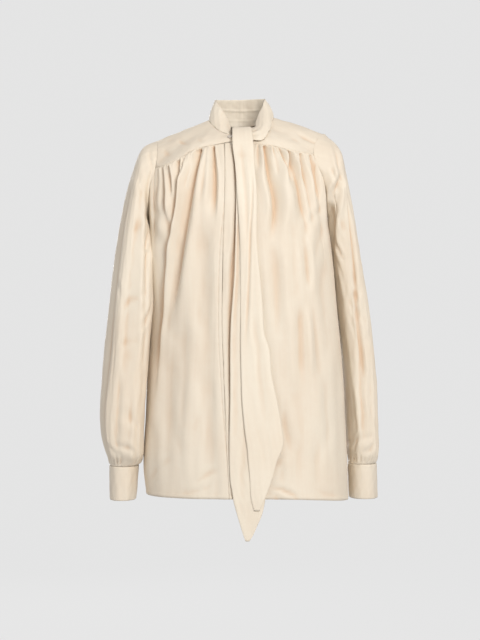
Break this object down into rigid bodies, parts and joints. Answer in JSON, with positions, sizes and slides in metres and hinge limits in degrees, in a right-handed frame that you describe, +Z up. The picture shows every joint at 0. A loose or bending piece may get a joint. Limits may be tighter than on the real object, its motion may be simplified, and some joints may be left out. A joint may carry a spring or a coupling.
{
  "type": "blouse",
  "caption": "Long-sleeved blouse worn by no one: gathered fronts under a yoke, a band collar that runs on into a knotted scarf, buttoned cuffs.",
  "frame": {"origin": "middle of the neck opening at the height of the shoulders' highest points, where the wearer's neck holds the blouse", "axes": "+Z up, the front faces -Y, the wearer's left side is at +X"},
  "size_m": [0.537, 0.2565, 0.8351],
  "materials": {
    "cloth": "ivory satin-back crepe with a soft sheen",
    "button": "pale pearl-like gloss"
  },
  "bodies": {
    "root": {"yoke": "cloth", "front_right": "cloth", "front_left": "cloth", "back": "cloth", "placket_right": "cloth", "placket_left": "cloth", "collar_band": "cloth", "tie_strip": "cloth", "tail_front": "cloth", "tail_rear": "cloth", "sleeve_right": "cloth", "cuff_right": "cloth", "sleeve_left": "cloth", "cuff_left": "cloth", "cuff_button_right_1": "button", "cuff_button_right_2": "button", "cuff_button_left_1": "button", "cuff_button_left_2": "button", "neck_button": "button"}
  },
  "joints": []
}
